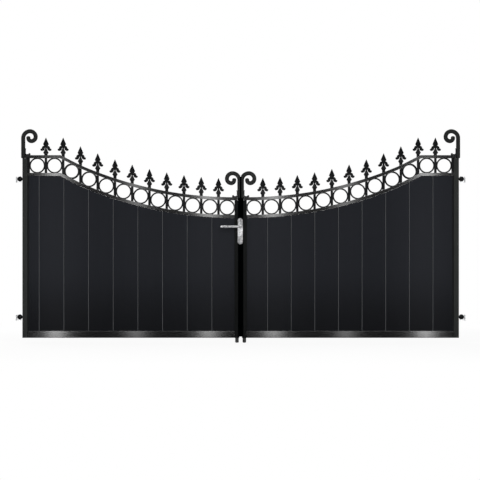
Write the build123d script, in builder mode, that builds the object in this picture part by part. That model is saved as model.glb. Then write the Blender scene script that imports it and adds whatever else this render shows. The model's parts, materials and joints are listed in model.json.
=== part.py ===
from build123d import *
import os
from math import sqrt

# A pair of iron driveway gates with a sagging ring frieze, scrolled stiles, spear
# finials and close boarding. All sizes are in millimetres. The origin lies on the left
# pier face at the lower hinge: X runs along the gates to the right, Y runs back from
# the viewer and Z is up. Y = 0 is the middle of the leaves' thickness.

# Opening and hinge line
opening_width = 3658.0
pin_to_pier = 30.0
pin_to_stile = 21.5
meeting_gap = 20.0
lower_hinge_height = 170.0
upper_hinge_below_top = 194.0

# Heights of the leaf above its underside
flat_height = 1488.0
dip_height = 1145.5
dip_radius = 3150.0
shoulder_overrun = 12.0
shoulder_ramp = 160.0

# Frame sections
stile_width = 40.0
stile_depth = 40.0
tube_wall = 3.0
bottom_rail_height = 56.0
rail_height = 25.0
rail_depth = 25.0
channel_width = 14.0
channel_wall = 2.5
edge_softness = 1.5

# Ring frieze
bay_count = 12
bar_size = 20.0
frieze_height = 119.0
ring_wall = 7.2
ring_oversize = 4.5
ring_least_wall = 2.0
ring_depth = 16.0

# Boarding
board_thickness = 20.0
left_first_board = 182.0
left_board_width = 201.0
right_first_board = 167.0
right_board_width = 192.5
groove_width = 7.0
boards_per_leaf = 9

# Scrolls
scroll_bar = 33.0
scroll_bar_sides = 8
outer_scroll_overhang = 11.0
inner_scroll_reach = 27.0
scroll_rise = 139.0
scroll_radius = 56.0
scroll_tightening = 10.5
scroll_tail = 16.0
scroll_foot_chamfer = 5.0
scroll_end_chamfer = 8.0
leaf_clearance = 5.0

# Corner brackets
bracket_reach = 42.0
bracket_height = 55.0
bracket_web = 4.5
bracket_foot = 9.0
bracket_cove = 8.0
bracket_knob = 7.5
bracket_knob_height = 9.5
bracket_bulb = 3.5
bracket_depth = 16.0

# Finials, with the barbs' points given as reach from the axis and drop below the neck
finial_height = 146.0
shoulder_finial_sink = 4.0
dip_finial_lift = 6.5
finial_shank = 25.0
spear_length = 53.0
spear_half_width = 24.0
spear_half_depth = 11.0
spear_base_drop = 19.0
spear_point = 1.5
neck_half_width = 11.0
neck_half_depth = 8.0
collar_half_width = 6.5
collar_drop = 18.5
barb_thickness = 12.0
barb_crown = (14.0, -7.0)
barb_back = (29.5, 0.5)
barb_bend = (33.5, 14.0)
barb_toe = (46.0, 21.0)
barb_heel = (42.0, 33.0)
barb_sole = (26.0, 35.0)
barb_throat = (9.5, 12.0)
barb_root = (0.0, 12.0)
boss_height = 24.0
boss_half_width = 21.5
boss_half_depth = 15.0
boss_lower_length = 13.0

# Hinges
ball_radius = 21.2
ball_half_height = 20.5
pin_radius = 8.0
pin_clearance = 0.25
hinge_neck_radius = 8.5
pin_cap = 1.5
lug_thickness = 6.0
lug_half_width = 12.0
plate_thickness = 5.0
plate_length = 110.0
plate_height = 46.0
plate_drop = 6.0
plate_corner = 6.0
bolt_spacing = 80.0
bolt_hole_radius = 5.5
bolt_head_radius = 9.0
bolt_head_angle = 90.0

# Drop rods
rod_radius = 14.5
rod_end_radius = 8.0
rod_length = 460.0
rod_drop = 40.0
rod_travel = 100.0
rod_clearance = 0.5
guide_thickness = 8.0
knob_height = 380.0
knob_stem_radius = 5.0
knob_radius = 12.0
knob_reach = 16.0
knob_thickness = 10.0

# Meeting cover and lock
cover_width = 40.0
cover_thickness = 5.0
cover_bottom = 10.0
cover_below_top = 7.5
tongue_width = 12.0
tongue_rise = 166.0
packer_thickness = 5.0
lock_case_width = 15.0
lock_case_height = 190.0
lever_height = 906.0
lever_to_cylinder = 92.0
handle_offset = 3.5
front_plate_width = 42.0
front_plate_height = 213.0
front_plate_rise = 69.0
handle_plate_thickness = 6.0
rear_plate_width = 32.0
rear_plate_corner = 5.0
spindle_size = 8.0
spindle_hole_radius = 6.2
hub_radius = 8.0
hub_length = 34.0
lever_length = 170.0
lever_section_height = 18.0
lever_section_depth = 14.0
lever_edge_radius = 4.0
lever_gap = 0.5
cylinder_radius = 8.5
cylinder_fin_width = 10.0
cylinder_height = 33.0
cylinder_proud = 3.0

# Fits
seat = 0.3

# Places worked out from the sizes above
half_opening = opening_width / 2
leaf_outer_x = pin_to_pier + pin_to_stile
leaf_inner_x = half_opening - meeting_gap / 2
frieze_start_x = leaf_outer_x + stile_width
frieze_end_x = leaf_inner_x - stile_width
bay_pitch = (frieze_end_x - frieze_start_x) / bay_count
ring_space = bay_pitch - bar_size
ring_radius = ring_space / 2 + ring_oversize
ring_hole_radius = ring_space / 2 - ring_wall
underside_z = -lower_hinge_height
flat_top_z = underside_z + flat_height
upper_hinge_z = flat_top_z - upper_hinge_below_top
dip_top_z = underside_z + dip_height
dip_centre_z = dip_top_z + dip_radius
rail_top_of_bottom_z = underside_z + bottom_rail_height
half_depth = stile_depth / 2
outer_shank_x = leaf_outer_x - outer_scroll_overhang + scroll_bar / 2
inner_shank_x = half_opening - inner_scroll_reach + scroll_bar / 2
handle_x = half_opening - handle_offset
lever_z = underside_z + lever_height
cylinder_z = lever_z - lever_to_cylinder
cover_back_y = -half_depth - packer_thickness
cover_front_y = cover_back_y - cover_thickness
plate_front_y = cover_front_y - handle_plate_thickness
plate_rear_y = half_depth + handle_plate_thickness
meeting_plane = Plane.YZ.offset(half_opening)

os.makedirs("parts", exist_ok=True)


def keep(piece, name):
    piece.label = name
    export_step(piece, "parts/" + name + ".step")


def keep_pair(piece, name):
    # The right leaf's piece is the left one turned over about the meeting line.
    keep(piece, "left_" + name)
    with BuildPart() as other:
        mirror(piece, about=meeting_plane)
    keep(other.part, "right_" + name)


# Lines that follow the dip of the leaf's top: a flat shoulder, a straight ramp and an arc.
# "depth" is measured square to the rail's upper edge and "drop" straight down.

shoulder_rise = dip_centre_z - flat_top_z
shoulder_end_x = frieze_end_x - sqrt(dip_radius ** 2 - shoulder_rise ** 2) + shoulder_overrun
ramp_end_x = shoulder_end_x + shoulder_ramp
ramp_end_z = dip_centre_z - sqrt(dip_radius ** 2 - (frieze_end_x - ramp_end_x) ** 2)
ramp_slope = (flat_top_z - ramp_end_z) / shoulder_ramp
ramp_stretch = sqrt(1 + ramp_slope ** 2)


def ramp_start(depth):
    return shoulder_end_x - depth * (ramp_stretch - 1) / ramp_slope


def ramp_z(x, depth):
    return flat_top_z - ramp_slope * (x - shoulder_end_x) - depth * ramp_stretch


def ramp_end(depth):
    # Where the ramp's line crosses the arc
    height = ramp_z(frieze_end_x, depth) - dip_centre_z
    side = height * ramp_slope
    reach = sqrt(side ** 2 - ramp_stretch ** 2 * (height ** 2 - (dip_radius + depth) ** 2))
    return frieze_end_x + (side + reach) / ramp_stretch ** 2


def dip_z(x, depth, drop):
    if x < ramp_start(depth):
        return flat_top_z - depth - drop
    if x < ramp_end(depth):
        return ramp_z(x, depth) - drop
    reach = min(x, frieze_end_x) - frieze_end_x
    return dip_centre_z - drop - sqrt((dip_radius + depth) ** 2 - reach ** 2)


def dip_line(start_x, end_x, depth, drop):
    kink_x = ramp_start(depth)
    arc_x = ramp_end(depth)
    middle_x = (arc_x + frieze_end_x) / 2
    kink = (kink_x, flat_top_z - depth - drop)
    arc_start = (arc_x, ramp_z(arc_x, depth) - drop)
    middle = (middle_x, dip_z(middle_x, depth, drop))
    bottom = (frieze_end_x, dip_z(frieze_end_x, depth, drop))
    if kink_x > start_x:
        Polyline((start_x, kink[1]), kink, arc_start)
    else:
        Line((start_x, ramp_z(start_x, depth) - drop), arc_start)
    ThreePointArc(arc_start, middle, bottom)
    if end_x > frieze_end_x:
        Line(bottom, (end_x, bottom[1]))


def dip_band(start_x, end_x, upper, lower, mode=Mode.ADD):
    # The area between two such lines, each given as (depth, drop).
    with BuildLine() as outline:
        dip_line(start_x, end_x, *upper)
        dip_line(start_x, end_x, *lower)
        Line((start_x, dip_z(start_x, *upper)), (start_x, dip_z(start_x, *lower)))
        Line((end_x, dip_z(end_x, *upper)), (end_x, dip_z(end_x, *lower)))
    make_face(outline.edges(), mode=mode)


frieze_rail_drop = rail_height + frieze_height
top_rail_upper = (0.0, 0.0)
top_rail_lower = (rail_height, 0.0)
frieze_upper = (rail_height + seat, 0.0)
frieze_lower = (-seat, frieze_rail_drop)
frieze_rail_upper = (0.0, frieze_rail_drop)
frieze_rail_lower = (rail_height, frieze_rail_drop)
board_top = (rail_height + seat, frieze_rail_drop)

# Hinge stile, a box section that ends under the top rail

with BuildPart() as hinge_stile:
    with BuildSketch(Plane.XY.offset(underside_z)):
        with Locations((leaf_outer_x + stile_width / 2, 0)):
            RectangleRounded(stile_width, stile_depth, edge_softness)
            Rectangle(stile_width - 2 * tube_wall, stile_depth - 2 * tube_wall, mode=Mode.SUBTRACT)
    extrude(amount=flat_height - rail_height)
keep_pair(hinge_stile.part, "hinge_stile")

# Edge channel that takes the end of the boarding

channel_height = flat_height - 2 * rail_height - frieze_height - bottom_rail_height
channel_depth = board_thickness + 2 * (channel_wall + seat)

with BuildPart() as edge_channel:
    with BuildSketch(Plane.XY.offset(rail_top_of_bottom_z)):
        with Locations((frieze_start_x + channel_width / 2, 0)):
            Rectangle(channel_width, channel_depth)
        with Locations((frieze_start_x + channel_wall + channel_width / 2, 0)):
            Rectangle(channel_width, board_thickness + 2 * seat, mode=Mode.SUBTRACT)
    extrude(amount=channel_height - seat)
keep_pair(edge_channel.part, "edge_channel")

# Closing stile, with the drop rod's guide in its foot and the knob's slot at the back

closing_stile_height = dip_height - rail_height
closing_stile_x = leaf_inner_x - stile_width / 2
slot_length = rod_travel + 2 * (knob_stem_radius + rod_clearance)
slot_z = underside_z + knob_height + rod_travel / 2

with BuildPart() as closing_stile:
    with BuildSketch(Plane.XY.offset(underside_z)):
        with Locations((closing_stile_x, 0)):
            RectangleRounded(stile_width, stile_depth, edge_softness)
    extrude(amount=closing_stile_height)
    with BuildSketch(Plane.XY.offset(underside_z + guide_thickness)):
        with Locations((closing_stile_x, 0)):
            Rectangle(stile_width - 2 * tube_wall, stile_depth - 2 * tube_wall)
    extrude(amount=closing_stile_height, mode=Mode.SUBTRACT)
    with BuildSketch(Plane.XY.offset(underside_z)):
        with Locations((closing_stile_x, 0)):
            Circle(rod_radius + rod_clearance)
    extrude(amount=guide_thickness, mode=Mode.SUBTRACT)
    with BuildSketch(Plane.XZ):
        with Locations((closing_stile_x, slot_z)):
            SlotOverall(slot_length, 2 * (knob_stem_radius + rod_clearance), rotation=90)
    extrude(amount=-stile_depth, mode=Mode.SUBTRACT)
keep_pair(closing_stile.part, "closing_stile")

# Bottom rail

with BuildPart() as bottom_rail:
    with BuildSketch(Plane.YZ.offset(frieze_start_x)):
        with Locations((0, underside_z + bottom_rail_height / 2)):
            RectangleRounded(stile_depth, bottom_rail_height, edge_softness)
            Rectangle(stile_depth - 2 * tube_wall, bottom_rail_height - 2 * tube_wall, mode=Mode.SUBTRACT)
    extrude(amount=frieze_end_x - frieze_start_x)
keep_pair(bottom_rail.part, "bottom_rail")

# Top rail, from one scroll's shank to the other's

top_rail_start_x = outer_shank_x + scroll_bar / 2 + seat
top_rail_end_x = inner_shank_x - scroll_bar / 2 - seat

with BuildPart() as top_rail:
    with BuildSketch(Plane.XZ):
        dip_band(top_rail_start_x, top_rail_end_x, top_rail_upper, top_rail_lower)
    extrude(amount=rail_depth / 2, both=True)
keep_pair(top_rail.part, "top_rail")

# Frieze rail, below the rings

with BuildPart() as frieze_rail:
    with BuildSketch(Plane.XZ):
        dip_band(frieze_start_x, frieze_end_x, frieze_rail_upper, frieze_rail_lower)
    extrude(amount=rail_depth / 2, both=True)
keep_pair(frieze_rail.part, "frieze_rail")

# Frieze bars, each cut to the lines of the two rails

bar_x = [frieze_start_x + bar_size / 2 + bay * bay_pitch for bay in range(bay_count)]
bar_places = [(x, dip_z(x, *frieze_upper) - frieze_height / 2) for x in bar_x]

with BuildPart() as frieze_bars:
    with BuildSketch(Plane.XZ):
        with Locations(*bar_places):
            Rectangle(bar_size, 2 * frieze_height)
        dip_band(frieze_start_x, frieze_end_x, frieze_upper, frieze_lower, Mode.INTERSECT)
    extrude(amount=bar_size / 2, both=True)
keep_pair(frieze_bars.part, "frieze_bars")

# Frieze rings, a little wider than the bays and ground flat to the bars and rails

ring_x = [x + bay_pitch / 2 for x in bar_x]
stile_place = (frieze_end_x + bar_size / 2, dip_z(frieze_end_x, *frieze_upper) - frieze_height / 2)
ring_places = [(x, (dip_z(x, *top_rail_lower) + dip_z(x, *frieze_rail_upper)) / 2) for x in ring_x]


def ring_hole(x):
    # Between sloping rails the hole is a little smaller, so that some wall is left.
    clear = dip_z(x, *frieze_upper) - dip_z(x, *frieze_lower)
    fall = dip_z(x - ring_space / 2, *frieze_upper) - dip_z(x + ring_space / 2, *frieze_upper)
    square_clear = clear * ring_space / sqrt(ring_space ** 2 + fall ** 2)
    return min(ring_hole_radius, square_clear / 2 - ring_least_wall)


with BuildPart() as frieze_rings:
    with BuildSketch(Plane.XZ):
        with Locations(*ring_places):
            Circle(ring_radius)
        for x, z in ring_places:
            with Locations((x, z)):
                Circle(ring_hole(x), mode=Mode.SUBTRACT)
        dip_band(frieze_start_x, frieze_end_x, frieze_upper, frieze_lower, Mode.INTERSECT)
        with Locations(*bar_places, stile_place):
            Rectangle(bar_size + 2 * seat, 2 * frieze_height, mode=Mode.SUBTRACT)
    extrude(amount=ring_depth / 2, both=True)
keep_pair(frieze_rings.part, "frieze_rings")

# Boarding, with a V joint between boards on both faces

board_start_x = frieze_start_x + channel_wall + seat
board_end_x = frieze_end_x - seat
board_bottom_z = rail_top_of_bottom_z + seat


def boarding(first_board, board_width):
    with BuildPart() as panel:
        with BuildSketch(Plane.XZ):
            with BuildLine():
                dip_line(board_start_x, frieze_end_x, *board_top)
                start_top = (board_start_x, dip_z(board_start_x, *board_top))
                end_top = (frieze_end_x, dip_z(frieze_end_x, *board_top))
                Polyline(start_top, (board_start_x, board_bottom_z), (frieze_end_x, board_bottom_z), end_top)
            make_face()
        extrude(amount=board_thickness / 2, both=True)
        with BuildSketch(Plane.XY.offset(board_bottom_z)):
            for board in range(boards_per_leaf - 1):
                joint_x = board_end_x - first_board - board * board_width
                for face_y in (-board_thickness / 2, board_thickness / 2):
                    with Locations((joint_x, face_y)):
                        Rectangle(groove_width / sqrt(2), groove_width / sqrt(2), rotation=45)
        extrude(amount=flat_height, mode=Mode.SUBTRACT)
    return panel.part


keep(boarding(left_first_board, left_board_width), "left_boarding")
with BuildPart() as right_boarding:
    mirror(boarding(right_first_board, right_board_width), about=meeting_plane)
keep(right_boarding.part, "right_boarding")

# Scrolls: an eight-sided bar that stands on the stile and curls over the leaf in four
# quarter turns, each tighter than the one before


def scroll(shank_x, rail_top_z, side):
    # "side" is +1 where the curl turns towards +X.
    foot_z = rail_top_z - rail_height
    with BuildPart() as bar:
        with BuildLine(Plane.XZ) as route:
            run = Line((shank_x, foot_z), (shank_x, rail_top_z + scroll_rise))
            for quarter in range(4):
                radius = scroll_radius - quarter * scroll_tightening
                run = JernArc(run @ 1, run % 1, radius, -90 * side)
            Line(run @ 1, run @ 1 + (run % 1) * scroll_tail)
        with BuildSketch(Plane((shank_x, 0, foot_z))):
            half_side_turn = 180 / scroll_bar_sides
            RegularPolygon(scroll_bar / 2, scroll_bar_sides, major_radius=False, rotation=half_side_turn)
        sweep(path=route.wires()[0])
        level_faces = bar.faces().filter_by(Axis.Z).sort_by(Axis.Z)
        chamfer(level_faces[0].outer_wire().edges(), length=scroll_foot_chamfer)
        level_faces = bar.faces().filter_by(Axis.Z).sort_by(Axis.Z)
        chamfer(level_faces[-1].outer_wire().edges(), length=scroll_end_chamfer)
    return bar.part


keep_pair(scroll(outer_shank_x, flat_top_z, 1), "outer_scroll")

# The inner scrolls are flat where the two leaves meet

with BuildPart() as inner_scroll:
    add(scroll(inner_shank_x, dip_top_z, -1))
    split(bisect_by=Plane.YZ.offset(half_opening - leaf_clearance / 2), keep=Keep.BOTTOM)
keep_pair(inner_scroll.part, "inner_scroll")

# Corner brackets between each shank and the top rail, with a knob on the foot


def bracket_outline(corner_x, corner_z, side):
    with Locations((corner_x + side * bracket_reach / 2, corner_z + bracket_foot / 2)):
        Rectangle(bracket_reach, bracket_foot)
    with Locations((corner_x + side * bracket_web / 2, corner_z + bracket_height / 2)):
        Rectangle(bracket_web, bracket_height)
    with Locations((corner_x + side * (bracket_reach - bracket_knob), corner_z + bracket_knob_height)):
        Circle(bracket_knob)
    with Locations((corner_x + side * bracket_bulb, corner_z + bracket_height - bracket_bulb)):
        Circle(bracket_bulb)
    cove_x = bracket_web + bracket_cove
    cove_z = corner_z + bracket_foot + bracket_cove
    with Locations((corner_x + side * (cove_x - bracket_cove / 2), cove_z - bracket_cove / 2)):
        Rectangle(bracket_cove, bracket_cove)
    with Locations((corner_x + side * cove_x, cove_z)):
        Circle(bracket_cove, mode=Mode.SUBTRACT)


with BuildPart() as corner_brackets:
    with BuildSketch(Plane.XZ):
        bracket_outline(outer_shank_x + scroll_bar / 2 + seat, flat_top_z + seat, 1)
        bracket_outline(inner_shank_x - scroll_bar / 2 - seat, dip_top_z + seat, -1)
    extrude(amount=bracket_depth / 2, both=True)
keep_pair(corner_brackets.part, "corner_brackets")

# Finials: spear, pair of barbs and square boss on a square shank


def diamond(half_width, half_depth, height):
    with BuildSketch(Plane.XY.offset(height)) as level:
        with BuildLine():
            Polyline((half_width, 0), (0, half_depth), (-half_width, 0), (0, -half_depth), close=True)
        make_face()
    return level.sketch


def block(half_width, half_depth, height):
    with BuildSketch(Plane.XY.offset(height)) as level:
        Rectangle(2 * half_width, 2 * half_depth)
    return level.sketch


spear_wide_z = finial_height - spear_length
neck_z = spear_wide_z - spear_base_drop
boss_bottom_z = boss_height - boss_lower_length
collar_z = neck_z - collar_drop
shank_half = finial_shank / 2


def barb_outline(side):
    points = (barb_crown, barb_back, barb_bend, barb_toe, barb_heel, barb_sole, barb_throat, barb_root)
    placed = [(side * reach, neck_z - drop) for reach, drop in points]
    crown, back, bend, toe, heel, sole, throat, root = placed
    with BuildLine() as outline:
        ThreePointArc(crown, back, bend)
        Polyline(bend, toe, heel)
        ThreePointArc(heel, sole, throat)
        Polyline(throat, root, (root[0], crown[1]), crown)
    make_face(outline.edges())


with BuildPart() as finial:
    with BuildSketch(Plane.XY.offset(-2 * finial_shank)):
        Rectangle(finial_shank, finial_shank)
    extrude(amount=2 * finial_shank + boss_bottom_z)
    loft([
        block(shank_half, shank_half, boss_bottom_z),
        block(boss_half_width, boss_half_depth, boss_height),
        block(collar_half_width, collar_half_width, collar_z),
        block(collar_half_width, collar_half_width, neck_z),
    ], ruled=True)
    loft([
        diamond(neck_half_width, neck_half_depth, neck_z),
        diamond(spear_half_width, spear_half_depth, spear_wide_z),
        diamond(spear_point, spear_point, finial_height),
    ], ruled=True)
    with BuildSketch(Plane.XZ):
        for side in (-1, 1):
            barb_outline(side)
    extrude(amount=barb_thickness / 2, both=True)


def finial_place(x):
    # The first two stand level, and those in the dip have somewhat longer shanks.
    if x < shoulder_end_x + bay_pitch / 2:
        return (x, 0, flat_top_z - shoulder_finial_sink)
    return (x, 0, dip_z(x, *top_rail_upper) + dip_finial_lift)


# The finials stand on all the bars but the one beside the hinge stile, and their shanks
# are cut to the line of the rail.

with BuildPart() as finials:
    with Locations(*[finial_place(x) for x in bar_x[1:]]):
        add(finial.part)
    with BuildSketch(Plane.XZ):
        dip_band(top_rail_start_x, top_rail_end_x, (-seat, 0.0), (0.0, 3 * finial_shank))
    extrude(amount=finial_shank, both=True, mode=Mode.SUBTRACT)
keep_pair(finials.part, "finials")

# Hinges: a bored ball welded to the stile, and a pin on a plate bolted to the pier

hinge_z = (0.0, upper_hinge_z)

with BuildPart() as hinge_eyes:
    for z in hinge_z:
        with Locations((pin_to_pier, 0, z)):
            Sphere(ball_radius)
        with BuildSketch(Plane.YZ.offset(pin_to_pier)):
            with Locations((0, z)):
                Circle(hinge_neck_radius)
        extrude(amount=pin_to_stile)
        with Locations((pin_to_pier, 0, z + ball_half_height + ball_radius)):
            Box(2 * ball_radius, 2 * ball_radius, 2 * ball_radius, mode=Mode.SUBTRACT)
        with Locations((pin_to_pier, 0, z - ball_half_height - ball_radius)):
            Box(2 * ball_radius, 2 * ball_radius, 2 * ball_radius, mode=Mode.SUBTRACT)
        with BuildSketch(Plane.XY.offset(z - ball_radius)):
            with Locations((pin_to_pier, 0)):
                Circle(pin_radius + pin_clearance)
        extrude(amount=2 * ball_radius, mode=Mode.SUBTRACT)
keep_pair(hinge_eyes.part, "hinge_eyes")


def pier_hinge(z):
    lug_top_z = z - ball_half_height - seat
    lug_bottom_z = lug_top_z - lug_thickness
    with BuildPart() as fixing:
        with BuildSketch(Plane.YZ):
            with Locations((0, z - plate_drop)):
                RectangleRounded(plate_length, plate_height, plate_corner)
        extrude(amount=plate_thickness)
        with BuildSketch(Plane.XY.offset(lug_bottom_z)):
            with Locations((pin_to_pier, 0)):
                Circle(lug_half_width)
            with Locations((pin_to_pier / 2, 0)):
                Rectangle(pin_to_pier, 2 * lug_half_width)
        extrude(amount=lug_thickness)
        with BuildSketch(Plane.XY.offset(lug_bottom_z)):
            with Locations((pin_to_pier, 0)):
                Circle(pin_radius)
        extrude(amount=lug_thickness + seat + 2 * ball_half_height + pin_cap)
        chamfer(fixing.edges().group_by(Axis.Z)[-1], length=edge_softness)
        with Locations(Plane((plate_thickness, 0, z), x_dir=(0, 1, 0), z_dir=(1, 0, 0))):
            with GridLocations(bolt_spacing, 0, 2, 1):
                CounterSinkHole(bolt_hole_radius, bolt_head_radius, plate_thickness, bolt_head_angle)
    return fixing.part


keep_pair(pier_hinge(hinge_z[0]), "lower_pier_hinge")
keep_pair(pier_hinge(hinge_z[1]), "upper_pier_hinge")

# Drop rods, sliding in the closing stiles

rod_foot_z = underside_z - rod_drop
knob_z = underside_z + knob_height

with BuildPart() as drop_rod:
    with BuildSketch(Plane.XY.offset(rod_foot_z)):
        with Locations((closing_stile_x, 0)):
            Circle(rod_radius)
    extrude(amount=rod_length)
    fillet(drop_rod.edges().group_by(Axis.Z)[0], radius=rod_end_radius)
    with BuildSketch(Plane.XZ):
        with Locations((closing_stile_x, knob_z)):
            Circle(knob_stem_radius)
    extrude(amount=-(half_depth + knob_reach))
    with BuildSketch(Plane.XZ.offset(-half_depth - knob_reach)):
        with Locations((closing_stile_x, knob_z)):
            Circle(knob_radius)
    extrude(amount=-knob_thickness)
    chamfer(drop_rod.faces().sort_by(Axis.Y)[-1].outer_wire().edges(), length=edge_softness)
keep_pair(drop_rod.part, "drop_rod")

# Cover strip over the meeting gap, held off the left leaf by a packer, with a tongue
# that closes the gap between the scrolls' shanks


def euro_outline(clearance):
    with Locations((handle_x, cylinder_z)):
        Circle(cylinder_radius + clearance)
    fin_height = cylinder_height - 2 * cylinder_radius
    fin_centre_z = cylinder_z - cylinder_radius - fin_height / 2
    with Locations((handle_x, fin_centre_z + cylinder_radius / 2)):
        Rectangle(cylinder_fin_width + 2 * clearance, fin_height + cylinder_radius)
    with Locations((handle_x, fin_centre_z - fin_height / 2)):
        Circle(cylinder_fin_width / 2 + clearance)


def spindle_hole():
    with Locations((handle_x, lever_z)):
        Circle(spindle_hole_radius)


cover_height = dip_height - cover_below_top - cover_bottom
cover_top_z = dip_top_z - cover_below_top
cover_centre_z = cover_top_z - cover_height / 2
tongue_height = tongue_rise + cover_below_top

with BuildPart() as cover_strip:
    with BuildSketch(Plane.XZ.offset(-cover_back_y)):
        with Locations((half_opening, cover_centre_z)):
            Rectangle(cover_width, cover_height)
        with Locations((half_opening, cover_top_z + tongue_height / 2)):
            Rectangle(tongue_width, tongue_height)
        with BuildSketch(mode=Mode.SUBTRACT):
            spindle_hole()
            euro_outline(seat)
    extrude(amount=cover_thickness)
    chamfer(cover_strip.faces().sort_by(Axis.Y)[0].outer_wire().edges(), length=edge_softness)
keep(cover_strip.part, "cover_strip")

packer_width = cover_width / 2 - meeting_gap / 2

with BuildPart() as cover_packer:
    with BuildSketch(Plane.XZ.offset(half_depth)):
        with Locations((leaf_inner_x - packer_width / 2, cover_centre_z)):
            Rectangle(packer_width, cover_height)
        with BuildSketch(mode=Mode.SUBTRACT):
            euro_outline(seat)
    extrude(amount=packer_thickness)
keep(cover_packer.part, "cover_packer")

# Lock case in the meeting gap, screwed to the left closing stile

lock_centre_z = lever_z - lever_to_cylinder / 2 - cylinder_radius

with BuildPart() as lock_case:
    with BuildSketch(Plane.XZ.offset(-half_depth)):
        with Locations((leaf_inner_x + lock_case_width / 2, lock_centre_z)):
            Rectangle(lock_case_width, lock_case_height)
        with BuildSketch(mode=Mode.SUBTRACT):
            spindle_hole()
    extrude(amount=stile_depth + packer_thickness - seat)
    with BuildSketch(Plane.XZ.offset(-cover_back_y)):
        euro_outline(seat)
    extrude(amount=-packer_thickness, mode=Mode.SUBTRACT)
keep(lock_case.part, "lock_case")

# Handle plates

front_plate_z = lever_z + front_plate_rise - front_plate_height / 2

with BuildPart() as front_plate:
    with BuildSketch(Plane.XZ.offset(-cover_front_y)):
        with Locations((handle_x, front_plate_z)):
            SlotOverall(front_plate_height, front_plate_width, rotation=90)
        with BuildSketch(mode=Mode.SUBTRACT):
            spindle_hole()
            euro_outline(seat)
    extrude(amount=handle_plate_thickness)
    chamfer(front_plate.faces().sort_by(Axis.Y)[0].outer_wire().edges(), length=edge_softness)
keep(front_plate.part, "front_handle_plate")

rear_plate_x = half_opening + lock_case_width - meeting_gap / 2 - rear_plate_width / 2

with BuildPart() as rear_plate:
    with BuildSketch(Plane.XZ.offset(-half_depth)):
        with Locations((rear_plate_x, lock_centre_z)):
            RectangleRounded(rear_plate_width, lock_case_height, rear_plate_corner)
        with BuildSketch(mode=Mode.SUBTRACT):
            spindle_hole()
    extrude(amount=-handle_plate_thickness)
    chamfer(rear_plate.faces().sort_by(Axis.Y)[-1].outer_wire().edges(), length=edge_softness)
keep(rear_plate.part, "rear_handle_plate")

# Lever handles, front and back, on one square spindle


def lever(base_y, side):
    # "side" is -1 in front of the leaf and +1 behind it.
    grip_x = handle_x + lever_section_height / 2 - lever_length / 2
    with BuildPart() as handle:
        with BuildSketch(Plane.XZ.offset(-base_y - side * hub_length)):
            with Locations((grip_x, lever_z)):
                SlotOverall(lever_length, lever_section_height)
        extrude(amount=side * lever_section_depth)
        fillet(handle.edges().group_by(Axis.Y)[0], radius=lever_edge_radius)
        fillet(handle.edges().group_by(Axis.Y)[-1], radius=lever_edge_radius)
        with BuildSketch(Plane.XZ.offset(-base_y)):
            with Locations((handle_x, lever_z)):
                Circle(hub_radius)
        extrude(amount=-side * (hub_length - lever_edge_radius))
        with BuildSketch(Plane.XZ.offset(-base_y)):
            with Locations((handle_x, lever_z)):
                Rectangle(spindle_size + 2 * seat, spindle_size + 2 * seat)
        extrude(amount=-side * hub_length / 2, mode=Mode.SUBTRACT)
    return handle.part


keep(lever(plate_front_y - lever_gap, -1), "front_lever")
keep(lever(plate_rear_y + lever_gap, 1), "rear_lever")

spindle_start_y = plate_front_y - lever_gap - hub_length / 2 + seat
spindle_end_y = plate_rear_y + lever_gap + hub_length / 2 - seat

with BuildPart() as spindle:
    with BuildSketch(Plane.XZ.offset(-spindle_start_y)):
        with Locations((handle_x, lever_z)):
            Rectangle(spindle_size, spindle_size)
    extrude(amount=spindle_start_y - spindle_end_y)
keep(spindle.part, "lever_spindle")

# Lock cylinder, keyed from the front

with BuildPart() as lock_cylinder:
    with BuildSketch(Plane.XZ.offset(-plate_front_y + cylinder_proud)):
        euro_outline(0)
    extrude(amount=plate_front_y - cylinder_proud + half_depth + seat)
keep(lock_cylinder.part, "lock_cylinder")
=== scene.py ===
import bpy
import bmesh
import json
from math import atan2, cos, radians, sin
from mathutils import Matrix, Vector


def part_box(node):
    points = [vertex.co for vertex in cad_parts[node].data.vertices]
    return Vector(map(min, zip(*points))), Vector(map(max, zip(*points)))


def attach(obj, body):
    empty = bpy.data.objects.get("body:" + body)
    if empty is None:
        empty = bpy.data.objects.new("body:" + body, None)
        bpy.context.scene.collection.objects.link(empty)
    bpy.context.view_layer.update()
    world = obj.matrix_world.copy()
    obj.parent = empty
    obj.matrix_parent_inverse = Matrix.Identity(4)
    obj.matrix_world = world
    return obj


# A pair of iron driveway gates. Metres, X to the right, Y away from the viewer, Z up.

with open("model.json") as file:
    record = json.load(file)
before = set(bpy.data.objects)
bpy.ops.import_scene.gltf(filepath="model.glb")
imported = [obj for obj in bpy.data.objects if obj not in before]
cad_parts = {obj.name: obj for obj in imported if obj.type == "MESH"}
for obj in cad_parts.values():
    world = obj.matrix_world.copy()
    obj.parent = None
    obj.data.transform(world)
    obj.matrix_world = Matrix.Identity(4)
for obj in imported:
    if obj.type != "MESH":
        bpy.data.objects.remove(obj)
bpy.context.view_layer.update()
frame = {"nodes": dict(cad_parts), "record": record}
nodes = frame["nodes"]
print("frame loaded:", len(nodes), "nodes")

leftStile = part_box("left_hinge_stile")
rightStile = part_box("right_hinge_stile")
middleX = (leftStile[0].x + rightStile[1].x) / 2  # the line where the leaves meet
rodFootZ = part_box("left_drop_rod")[0].z  # the floor lies at the feet of the drop rods


# Small helpers for materials

def newMaterial(name):
    material = bpy.data.materials.new(name)
    material.use_nodes = True
    tree = material.node_tree
    return material, tree, tree.nodes["Principled BSDF"]


def setInputs(tree, node, inputs):
    # another node's output is linked, a plain value is set
    for label, value in inputs.items():
        if isinstance(value, bpy.types.NodeSocket):
            tree.links.new(value, node.inputs[label])
        else:
            node.inputs[label].default_value = value


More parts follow.
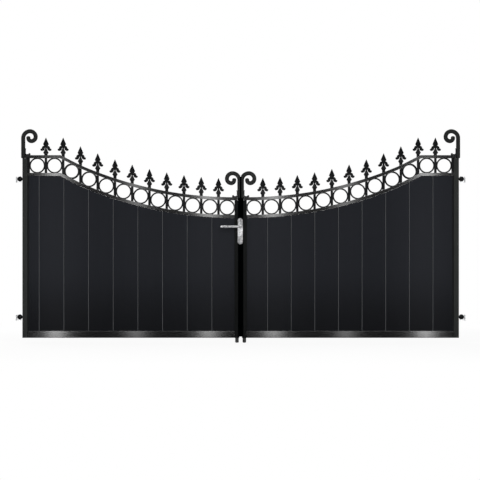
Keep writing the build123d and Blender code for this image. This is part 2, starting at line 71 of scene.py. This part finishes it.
def addNode(tree, kind, inputs=None, **settings):
    # settings come first, because they decide which inputs the node shows
    node = tree.nodes.new(kind)
    for key, value in settings.items():
        setattr(node, key, value)
    setInputs(tree, node, inputs or {})
    return node


def mathNode(tree, operation, *values, clamp=False):
    node = addNode(tree, "ShaderNodeMath", dict(enumerate(values)), operation=operation, use_clamp=clamp)
    return node.outputs[0]


def varied(tree, pattern, middle, spread):
    # a value that a pattern from 0 to 1 moves about its middle
    return mathNode(tree, "MULTIPLY_ADD", pattern, spread, middle - spread / 2)


def mapRange(tree, value, start, end, low=0.0, high=1.0, kind="SMOOTHSTEP"):
    inputs = {"Value": value, "From Min": start, "From Max": end, "To Min": low, "To Max": high}
    return addNode(tree, "ShaderNodeMapRange", inputs, interpolation_type=kind).outputs["Result"]


def mixColour(tree, factor, first, second, blend="MIX"):
    inputs = {"Factor": factor, "A": first, "B": second}
    return addNode(tree, "ShaderNodeMix", inputs, data_type="RGBA", blend_type=blend).outputs["Result"]


def objectVector(tree):
    return tree.nodes.new("ShaderNodeTexCoord").outputs["Object"]


def stretched(tree, vector, scale):
    return addNode(tree, "ShaderNodeMapping", {"Vector": vector, "Scale": scale}).outputs["Vector"]


def noise(tree, vector, scale, detail=2.0, distortion=0.0):
    inputs = {"Vector": vector, "Scale": scale, "Detail": detail, "Distortion": distortion}
    return addNode(tree, "ShaderNodeTexNoise", inputs, noise_dimensions="3D").outputs["Fac"]


def bumpFrom(tree, shader, height, look):
    inputs = {"Strength": look["bump"], "Distance": look["bumpDepth"], "Height": height}
    if "roundEdge" in look:
        soft = addNode(tree, "ShaderNodeBevel", {"Radius": look["roundEdge"]}, samples=look["edgeSamples"])
        inputs["Normal"] = soft.outputs["Normal"]
    bump = addNode(tree, "ShaderNodeBump", inputs)
    setInputs(tree, shader, {"Normal": bump.outputs["Normal"]})


# Fine orange peel of a powder coat: a height, and a slow drift of tone and gloss

orangePeelLook = {"fineDetail": 3, "driftScale": 6, "driftDetail": 2}


def makeOrangePeel():
    group = bpy.data.node_groups.new("orangePeel", "ShaderNodeTree")
    for label, kind in (("Vector", "NodeSocketVector"), ("Grain", "NodeSocketFloat")):
        group.interface.new_socket(name=label, in_out="INPUT", socket_type=kind)
    for label in ("Height", "Drift"):
        group.interface.new_socket(name=label, in_out="OUTPUT", socket_type="NodeSocketFloat")
    source = group.nodes.new("NodeGroupInput")
    result = group.nodes.new("NodeGroupOutput")
    vector = source.outputs["Vector"]
    setInputs(group, result, {
        "Height": noise(group, vector, source.outputs["Grain"], orangePeelLook["fineDetail"]),
        "Drift": noise(group, vector, orangePeelLook["driftScale"], orangePeelLook["driftDetail"]),
    })
    return group


orangePeel = makeOrangePeel()


# Black powder coat, with a look for each group of parts

powderCoat = {
    "looks": {
        "frame": {"colour": (0.0185, 0.0200, 0.0190), "roughness": 0.45, "specular": 0.12},
        # a darker copy of the coat: painted shade on the closing stiles beside the cover strip
        "closing": {"colour": (0.0052, 0.0057, 0.0058), "roughness": 0.42, "specular": 0.04},
        "iron": {"colour": (0.0070, 0.0074, 0.0080), "roughness": 0.40, "specular": 0.07},
        "scroll": {"colour": (0.0150, 0.0158, 0.0155), "roughness": 0.38, "specular": 0.12},
        # a lighter copy of the coat: a painted highlight on the drop rods
        "rod": {"colour": (0.0330, 0.0335, 0.0330), "roughness": 0.36, "specular": 0.30},
        # near black and without gloss: painted shade on the cover strip and its packer
        "strip": {"colour": (0.0003, 0.0005, 0.0006), "roughness": 0.40, "specular": 0.0},
        "rail": {"colour": (0.0012, 0.0014, 0.0016), "roughness": 0.265, "specular": 1.0},
    },
    "grain": 520.0,
    "toneDrift": 0.5,
    "glossDrift": 0.03,
    "bump": 0.05,
    "bumpDepth": 0.0003,
    "roundEdge": 0.0025,
    "edgeSamples": 4,
}


def makePowderCoat(name, look):
    material, tree, shader = newMaterial(name + "Coat")
    peel = addNode(tree, "ShaderNodeGroup", {"Vector": objectVector(tree), "Grain": powderCoat["grain"]},
                   node_tree=orangePeel)
    drift = peel.outputs["Drift"]
    tone = varied(tree, drift, 1.0, powderCoat["toneDrift"])
    setInputs(tree, shader, {
        "Base Color": mixColour(tree, 1.0, (*look["colour"], 1), tone, "MULTIPLY"),
        "Roughness": varied(tree, drift, look["roughness"], powderCoat["glossDrift"]),
        "Specular IOR Level": look["specular"],
    })
    bumpFrom(tree, shader, peel.outputs["Height"], powderCoat)
    return material


# Satin anthracite boarding: a fine grain up the boards, with painted shade low down, and a painted highlight
# and painted shade on the two flanks of each joint

boarding = {
    "upper": (0.0118, 0.0130, 0.0166),
    "lower": (0.0058, 0.0064, 0.0080),
    "shadeFade": (-0.08, 0.44),  # heights between which the painted shade low down fades out
    "flankHighlight": (0.125, 0.130, 0.136),  # painted highlight on the flank of a joint that faces the meeting line
    "shade": (0.0070, 0.0075, 0.0088),  # painted shade on the flank that faces away from it
    "flankGain": 2.0,
    "grain": (240.0, 240.0, 5.0),
    "grainDetail": 4,
    "grainTone": 0.24,
    "roughness": 0.50,
    "grainGloss": 0.14,
    "specular": 0.05,
    "bump": 0.15,
    "bumpDepth": 0.0004,
}


def makeBoardCoat():
    material, tree, shader = newMaterial("boardCoat")
    coordinates = tree.nodes.new("ShaderNodeTexCoord")
    vector = coordinates.outputs["Object"]
    place = addNode(tree, "ShaderNodeSeparateXYZ", {"Vector": vector})
    facing = addNode(tree, "ShaderNodeSeparateXYZ", {"Vector": coordinates.outputs["Normal"]})
    grain = noise(tree, stretched(tree, vector, boarding["grain"]), 1, boarding["grainDetail"])

    # painted shade: the boards are painted darker towards the bottom
    height = mapRange(tree, place.outputs["Z"], *boarding["shadeFade"])
    colour = mixColour(tree, height, (*boarding["lower"], 1), (*boarding["upper"], 1))
    colour = mixColour(tree, 1.0, colour, varied(tree, grain, 1.0, boarding["grainTone"]), "MULTIPLY")

    # painted highlight and painted shade: the flank of each joint that faces the meeting line is painted
    # light, the flank facing away is painted dark
    side = mathNode(tree, "SIGN", mathNode(tree, "SUBTRACT", middleX, place.outputs["X"]))
    inward = mathNode(tree, "MULTIPLY", facing.outputs["X"], side)
    for flank, gain in (("flankHighlight", boarding["flankGain"]), ("shade", -boarding["flankGain"])):
        share = mathNode(tree, "MULTIPLY", inward, gain, clamp=True)
        colour = mixColour(tree, share, colour, (*boarding[flank], 1))

    setInputs(tree, shader, {
        "Base Color": colour,
        "Roughness": varied(tree, grain, boarding["roughness"], boarding["grainGloss"]),
        "Specular IOR Level": boarding["specular"],
    })
    bumpFrom(tree, shader, grain, boarding)
    return material


# Satin nickel of the handle set, brushed up the plate and smudged by hands

nickel = {
    "colour": (0.44, 0.44, 0.45),
    "roughness": 0.29,
    "brush": (900.0, 900.0, 30.0),
    "brushGloss": 0.2,
    "smudgeScale": 30.0,
    "smudgeDetail": 1,
    "smudgeDistortion": 1.2,
    "smudgeRange": (0.3, 0.7),  # part of the noise that is spread over smudgeTone
    "smudgeTone": (0.55, 1.35),
    "bump": 0.1,
    "bumpDepth": 0.0002,
}


def makeNickel():
    material, tree, shader = newMaterial("satinNickel")
    vector = objectVector(tree)
    brush = noise(tree, stretched(tree, vector, nickel["brush"]), 1)
    smudge = noise(tree, vector, nickel["smudgeScale"], nickel["smudgeDetail"], nickel["smudgeDistortion"])
    tone = mapRange(tree, smudge, *nickel["smudgeRange"], *nickel["smudgeTone"], kind="LINEAR")
    setInputs(tree, shader, {
        "Base Color": mixColour(tree, 1.0, (*nickel["colour"], 1), tone, "MULTIPLY"),
        "Roughness": varied(tree, brush, nickel["roughness"], nickel["brushGloss"]),
        "Metallic": 1.0,
    })
    bumpFrom(tree, shader, brush, nickel)
    return material


# Zinc plating of the pier hinges, the lock case and the spindle

zinc = {
    "colour": (0.80, 0.81, 0.82),
    "roughness": 0.55,
    "metallic": 0.15,
    "spangle": 90.0,
    "spangleTone": (1.05, 0.3),  # middle and spread
    "spangleGloss": 0.3,
    "bump": 0.1,
    "bumpDepth": 0.0003,
}


def makeZinc():
    material, tree, shader = newMaterial("zincPlate")
    inputs = {"Vector": objectVector(tree), "Scale": zinc["spangle"]}
    spangle = addNode(tree, "ShaderNodeTexVoronoi", inputs, feature="F1").outputs["Distance"]
    tone = varied(tree, spangle, *zinc["spangleTone"])
    setInputs(tree, shader, {
        "Base Color": mixColour(tree, 1.0, (*zinc["colour"], 1), tone, "MULTIPLY"),
        "Roughness": varied(tree, spangle, zinc["roughness"], zinc["spangleGloss"]),
        "Metallic": zinc["metallic"],
    })
    bumpFrom(tree, shader, spangle, zinc)
    return material


coats = {name: makePowderCoat(name, look) for name, look in powderCoat["looks"].items()}
boardCoat = makeBoardCoat()
satinNickel = makeNickel()
zincPlate = makeZinc()
print("materials made")


# Every CAD node gets its finish, by the end of its name

finishes = {
    "hinge_stile": coats["frame"],
    "edge_channel": coats["iron"],
    "closing_stile": coats["closing"],
    "bottom_rail": coats["rail"],
    "top_rail": coats["rail"],
    "frieze_rail": coats["rail"],
    "frieze_bars": coats["iron"],
    "frieze_rings": coats["iron"],
    "boarding": boardCoat,
    "finials": coats["iron"],
    "outer_scroll": coats["scroll"],
    "inner_scroll": coats["scroll"],
    "corner_brackets": coats["iron"],
    "hinge_eyes": coats["iron"],
    "drop_rod": coats["rod"],
    "pier_hinge": zincPlate,
    "cover_strip": coats["strip"],
    "cover_packer": coats["strip"],
    "lock_case": zincPlate,
    "spindle": zincPlate,
    "handle_plate": satinNickel,
    "lever": satinNickel,
    "cylinder": satinNickel,
}


def finishFor(nodeName):
    for ending, material in finishes.items():
        if nodeName.endswith(ending):
            return material
    raise ValueError("no finish for " + nodeName)


for nodeName, piece in nodes.items():
    piece.data.materials.clear()
    piece.data.materials.append(finishFor(nodeName))
print("finishes set")


# Small fastenings, each built about its own centre with its face up, then set in place

fastening = {
    "sharpAngle": 35,
    "socketStart": 0.55,  # radius of the ring that a socket starts from, as a share of its width
    "socketLean": 0.03,  # how far a recess narrows, as a share of its width
    "slotLean": 0.04,
    "mergeDistance": 1e-6,
}


def finishPiece(name, form, material, body):
    mesh = bpy.data.meshes.new(name)
    form.to_mesh(mesh)
    form.free()
    mesh.shade_smooth()
    mesh.set_sharp_from_angle(angle=radians(fastening["sharpAngle"]))
    mesh.materials.append(material)
    piece = bpy.data.objects.new(name, mesh)
    bpy.context.scene.collection.objects.link(piece)
    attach(piece, body)


def setAt(form, place, outward):
    turn = Vector(outward).to_track_quat("Z", "Y").to_matrix().to_4x4()
    bmesh.ops.transform(form, matrix=Matrix.Translation(place) @ turn, verts=form.verts)


def addForm(form, other):
    mesh = bpy.data.meshes.new("joined")
    other.to_mesh(mesh)
    other.free()
    form.from_mesh(mesh)
    bpy.data.meshes.remove(mesh)


def middleOf(nodeName):
    low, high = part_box(nodeName)
    return (low + high) / 2


def roundHead(look):
    form = bmesh.new()
    bmesh.ops.create_cone(form, cap_ends=True, segments=look["segments"], radius1=look["radius"],
                          radius2=look["topRadius"], depth=look["height"])
    return form


def topFace(form):
    return max(form.faces, key=lambda face: face.calc_center_median().z)


# Known fault: the second topFace below meets faces of equal height. In the anchor bolts it finds
# the middle, in the plate screws and the plug a face of the ring, which leaves a notch in their rim.

def hexSocket(form, look):
    # sinks a hexagon into the top of a round head
    across = look["socket"]
    face = topFace(form)
    radius = max(vert.co.xy.length for vert in face.verts)
    bmesh.ops.inset_individual(form, faces=[face], thickness=radius - across * fastening["socketStart"])
    face = topFace(form)
    for vert in face.verts:
        turn = atan2(vert.co.y, vert.co.x) % radians(60) - radians(30)
        vert.co.xy = vert.co.xy.normalized() * across / 2 / cos(turn)
    lean = across * fastening["socketLean"]
    bmesh.ops.inset_individual(form, faces=[face], thickness=lean, depth=-look["socketDepth"])


def keySlot(form, look):
    # sinks an upright slot into the top of the cylinder's plug
    width, height = look["slot"]
    face = topFace(form)
    radius = max(vert.co.xy.length for vert in face.verts)
    bmesh.ops.inset_individual(form, faces=[face], thickness=radius * look["slotInset"])
    face = topFace(form)
    for vert in face.verts:
        turn = atan2(vert.co.y, vert.co.x)
        vert.co.x = max(-width / 2, min(width / 2, vert.co.x))
        vert.co.y = height / 2 * sin(turn)
    lean = width * fastening["slotLean"]
    bmesh.ops.inset_individual(form, faces=[face], thickness=lean, depth=-look["slotDepth"])


# Countersunk anchor bolts, flush with the plates of the pier hinges

anchorBolt = {
    "radius": 0.0052,
    "topRadius": 0.0086,
    "height": 0.0034,
    "segments": 24,
    "socket": 0.006,
    "socketDepth": 0.0026,
    "plate": 0.005,  # thickness of the plate
}
mounts = {mount["name"]: mount for mount in frame["record"]["mounts"]}


def makeAnchorBolts(nodeName):
    pattern = mounts[nodeName.replace("pier_hinge", "bolts")]
    faceX, centreY, level = pattern["pos_m"]
    inward = -pattern["axis"][0]
    spacing = pattern["dims"]["spacing_x_mm"] / 1000
    centreX = faceX + inward * (anchorBolt["plate"] - anchorBolt["height"] / 2)
    form = bmesh.new()
    for side in (-1, 1):
        head = roundHead(anchorBolt)
        hexSocket(head, anchorBolt)
        setAt(head, (centreX, centreY + side * spacing / 2, level), (inward, 0, 0))
        addForm(form, head)
    name = nodeName.replace("pier_hinge", "anchor_bolts")
    finishPiece(name, form, zincPlate, "pier_fixings")


for nodeName in nodes:
    if nodeName.endswith("pier_hinge"):
        makeAnchorBolts(nodeName)


# Screws of the handle plates and the roses behind the levers

plateScrew = {
    "radius": 0.0036,
    "topRadius": 0.0030,
    "height": 0.0012,
    "segments": 24,
    "socket": 0.0028,
    "socketDepth": 0.0008,
    "fromEnd": {"front": 0.0125, "rear": 0.0105},
}
leverRose = {
    "bore": 0.0085,
    "radius": 0.0135,
    "edge": 0.0012,  # height of the upright rim
    "shoulder": (0.012555, 0.0024),
    "flat": 0.0108,
    "height": 0.0030,
    "steps": 40,
}


def makePlateScrews(side, outward, faceY):
    plateName = side + "_handle_plate"
    low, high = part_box(plateName)
    fromEnd = plateScrew["fromEnd"][side]
    screws = bmesh.new()
    for level in (low.z + fromEnd, high.z - fromEnd):
        head = roundHead(plateScrew)
        hexSocket(head, plateScrew)
        setAt(head, (middleOf(plateName).x, faceY, level), (0, outward, 0))
        addForm(screws, head)
    finishPiece(side + "_plate_screws", screws, satinNickel, "left_leaf")


def makeLeverRose(side, outward, faceY):
    bore, radius, height = leverRose["bore"], leverRose["radius"], leverRose["height"]
    outline = ((bore, 0), (radius, 0), (radius, leverRose["edge"]), leverRose["shoulder"],
               (leverRose["flat"], height), (bore, height))
    rose = bmesh.new()
    points = [rose.verts.new((across, 0, level)) for across, level in outline]
    edges = [rose.edges.new(pair) for pair in zip(points, points[1:] + points[:1])]
    bmesh.ops.spin(rose, geom=points + edges, cent=(0, 0, 0), axis=(0, 0, 1), angle=radians(360),
                   steps=leverRose["steps"], use_merge=True)
    bmesh.ops.remove_doubles(rose, verts=rose.verts, dist=fastening["mergeDistance"])
    bmesh.ops.recalc_face_normals(rose, faces=rose.faces)
    spindle = middleOf("lever_spindle")
    setAt(rose, (spindle.x, faceY, spindle.z), (0, outward, 0))
    finishPiece(side + "_lever_rose", rose, satinNickel, "left_leaf")


for side, outward in (("front", -1), ("rear", 1)):
    low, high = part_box(side + "_handle_plate")
    faceY = low.y if outward < 0 else high.y
    makePlateScrews(side, outward, faceY)
    makeLeverRose(side, outward, faceY)


# Plug of the cylinder

keyPlug = {
    "radius": 0.0066,
    "topRadius": 0.0062,
    "height": 0.0010,
    "segments": 40,
    "slot": (0.0018, 0.0082),
    "slotInset": 0.3,  # share of the face that stays whole around the slot
    "slotDepth": 0.0035,
    "fromTop": 0.0085,
}

low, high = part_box("lock_cylinder")
plug = roundHead(keyPlug)
keySlot(plug, keyPlug)
setAt(plug, (middleOf("lock_cylinder").x, low.y, high.z - keyPlug["fromTop"]), (0, -1, 0))
finishPiece("cylinder_plug", plug, satinNickel, "left_leaf")
print("fastenings made")


# Floor, room, lamps and camera

studio = {
    "floorSize": 60.0,
    "floorColour": (0.86, 0.86, 0.86),
    "floorRoughness": 0.9,
    "floorGloss": 0.03,  # what the floor shows in a reflection
    "shadowShare": 0.10,
    "shadowReach": (1.2, 3.0),  # how far past the gate's ends the shadow fades out
    "worldLight": 0.60,
    "glossFront": 0.0,  # the room behind the camera is dark
    "glossBack": 0.50,
    "glossTurn": (-0.9, 0.3),  # directions along Y between which it turns from dark to light
}

lamps = {
    "key": {"place": (0.0, -6.5, 4.6), "aim": 0.5, "size": (5.0, 3.0), "power": 240.0},
    "back": {"place": (-2.5, 6.0, 3.6), "aim": 0.5, "size": (5.0, 3.0), "power": 200.0},
    "strip": {"offsets": (0.273, 0.876, 1.545), "power": (3.3, 1.7, 4.3), "size": (0.11, 1.48), "ahead": 0.6},
    "handle": {"size": (0.10, 0.34), "power": 0.085, "ahead": 0.9, "below": 0.046},
    "glint": {"size": (0.16, 0.035), "power": 0.07, "ahead": 0.35, "below": 0.034},
}

view = {
    "centre": (1.8237, 0.6267),  # X and Z in the middle of the picture
    "width": 3.912,
    "distance": 22.0,
    "sensor": 36.0,
    "clipEnd": 200.0,
}


def makeFloorPaint():
    # white to the camera, with a soft shadow that fades out around the gate
    material, tree, shader = newMaterial("floorPaint")
    setInputs(tree, shader, {
        "Base Color": (*studio["floorColour"], 1),
        "Roughness": studio["floorRoughness"],
        "Specular IOR Level": 0.0,
    })
    near, far = studio["shadowReach"]
    distance = addNode(tree, "ShaderNodeVectorMath", {0: objectVector(tree), 1: (middleX, 0, rodFootZ)},
                       operation="DISTANCE").outputs["Value"]
    white = mapRange(tree, distance, middleX + near, middleX + far, 1 - studio["shadowShare"])
    rays = tree.nodes.new("ShaderNodeLightPath")
    seen, glossy = rays.outputs["Is Camera Ray"], rays.outputs["Is Glossy Ray"]
    share = mathNode(tree, "MAXIMUM", mathNode(tree, "MULTIPLY", seen, white), glossy)
    strength = mathNode(tree, "ADD", seen, mathNode(tree, "MULTIPLY", glossy, studio["floorGloss"]))
    glow = addNode(tree, "ShaderNodeEmission", {"Strength": strength})
    mix = addNode(tree, "ShaderNodeMixShader",
                  {0: share, 1: shader.outputs["BSDF"], 2: glow.outputs["Emission"]})
    setInputs(tree, tree.nodes["Material Output"], {"Surface": mix.outputs["Shader"]})
    return material


def makeFloor():
    form = bmesh.new()
    bmesh.ops.create_grid(form, x_segments=1, y_segments=1, size=studio["floorSize"] / 2)
    bmesh.ops.translate(form, verts=form.verts, vec=(middleX, 0, rodFootZ))
    mesh = bpy.data.meshes.new("floor")
    form.to_mesh(mesh)
    form.free()
    mesh.materials.append(makeFloorPaint())
    floor = bpy.data.objects.new("floor", mesh)
    bpy.context.scene.collection.objects.link(floor)


def makeWorld():
    # white to the camera, an even light on the gate, and a dark front in its reflections
    world = bpy.data.worlds.new("studio")
    bpy.context.scene.world = world
    world.use_nodes = True
    tree = world.node_tree
    light = studio["worldLight"]
    coordinates = tree.nodes.new("ShaderNodeTexCoord")
    towards = addNode(tree, "ShaderNodeSeparateXYZ", {"Vector": coordinates.outputs["Generated"]})
    room = mapRange(tree, towards.outputs["Y"], *studio["glossTurn"],
                    studio["glossFront"] - light, studio["glossBack"] - light)
    rays = tree.nodes.new("ShaderNodeLightPath")
    seen = mathNode(tree, "MULTIPLY", rays.outputs["Is Camera Ray"], 1 - light)
    gloss = mathNode(tree, "MULTIPLY", rays.outputs["Is Glossy Ray"], room)
    strength = mathNode(tree, "ADD", mathNode(tree, "ADD", seen, gloss), light)
    setInputs(tree, tree.nodes["Background"], {"Color": (1, 1, 1, 1), "Strength": strength})


def makeLamp(name, place, target, size, power, glossOnly=False):
    lamp = bpy.data.lights.new(name, "AREA")
    lamp.shape = "RECTANGLE"
    lamp.size, lamp.size_y = size
    lamp.energy = power
    holder = bpy.data.objects.new(name, lamp)
    bpy.context.scene.collection.objects.link(holder)
    holder.location = place
    aim = Vector(target) - Vector(place)
    holder.rotation_euler = aim.to_track_quat("-Z", "Y").to_euler()
    holder.visible_camera = False
    holder.visible_diffuse = not glossOnly


def makeLamps():
    for name in ("key", "back"):
        look = lamps[name]
        place = Vector(look["place"]) + Vector((middleX, 0, 0))
        makeLamp(name + "Lamp", place, (middleX, 0, look["aim"]), look["size"], look["power"])

    # upright strips that stand on the floor and show as soft bands on the glossy rails
    strip = lamps["strip"]
    level = rodFootZ + strip["size"][1] / 2
    for index, (offset, power) in enumerate(zip(strip["offsets"], strip["power"])):
        for side in (-1, 1):
            x = middleX + side * offset
            makeLamp("stripLamp_%d_%d" % (index, side), (x, -strip["ahead"], level), (x, 0, level),
                     strip["size"], power, glossOnly=True)

    # two small lamps for the nickel of the handle set
    for name in ("handle", "glint"):
        look = lamps[name]
        level = middleOf("lever_spindle").z - look["below"]
        makeLamp(name + "Lamp", (middleX, -look["ahead"], level), (middleX, 0, level),
                 look["size"], look["power"], glossOnly=True)


def makeCamera():
    camera = bpy.data.cameras.new("camera")
    camera.sensor_width = view["sensor"]
    camera.lens = view["sensor"] * view["distance"] / view["width"]
    camera.clip_end = view["clipEnd"]
    holder = bpy.data.objects.new("camera", camera)
    bpy.context.scene.collection.objects.link(holder)
    holder.location = (view["centre"][0], -view["distance"], view["centre"][1])
    holder.rotation_euler = (radians(90), 0, 0)
    bpy.context.scene.camera = holder


makeFloor()
makeWorld()
makeLamps()
makeCamera()
bpy.context.scene.view_settings.view_transform = "Standard"
print("studio ready")
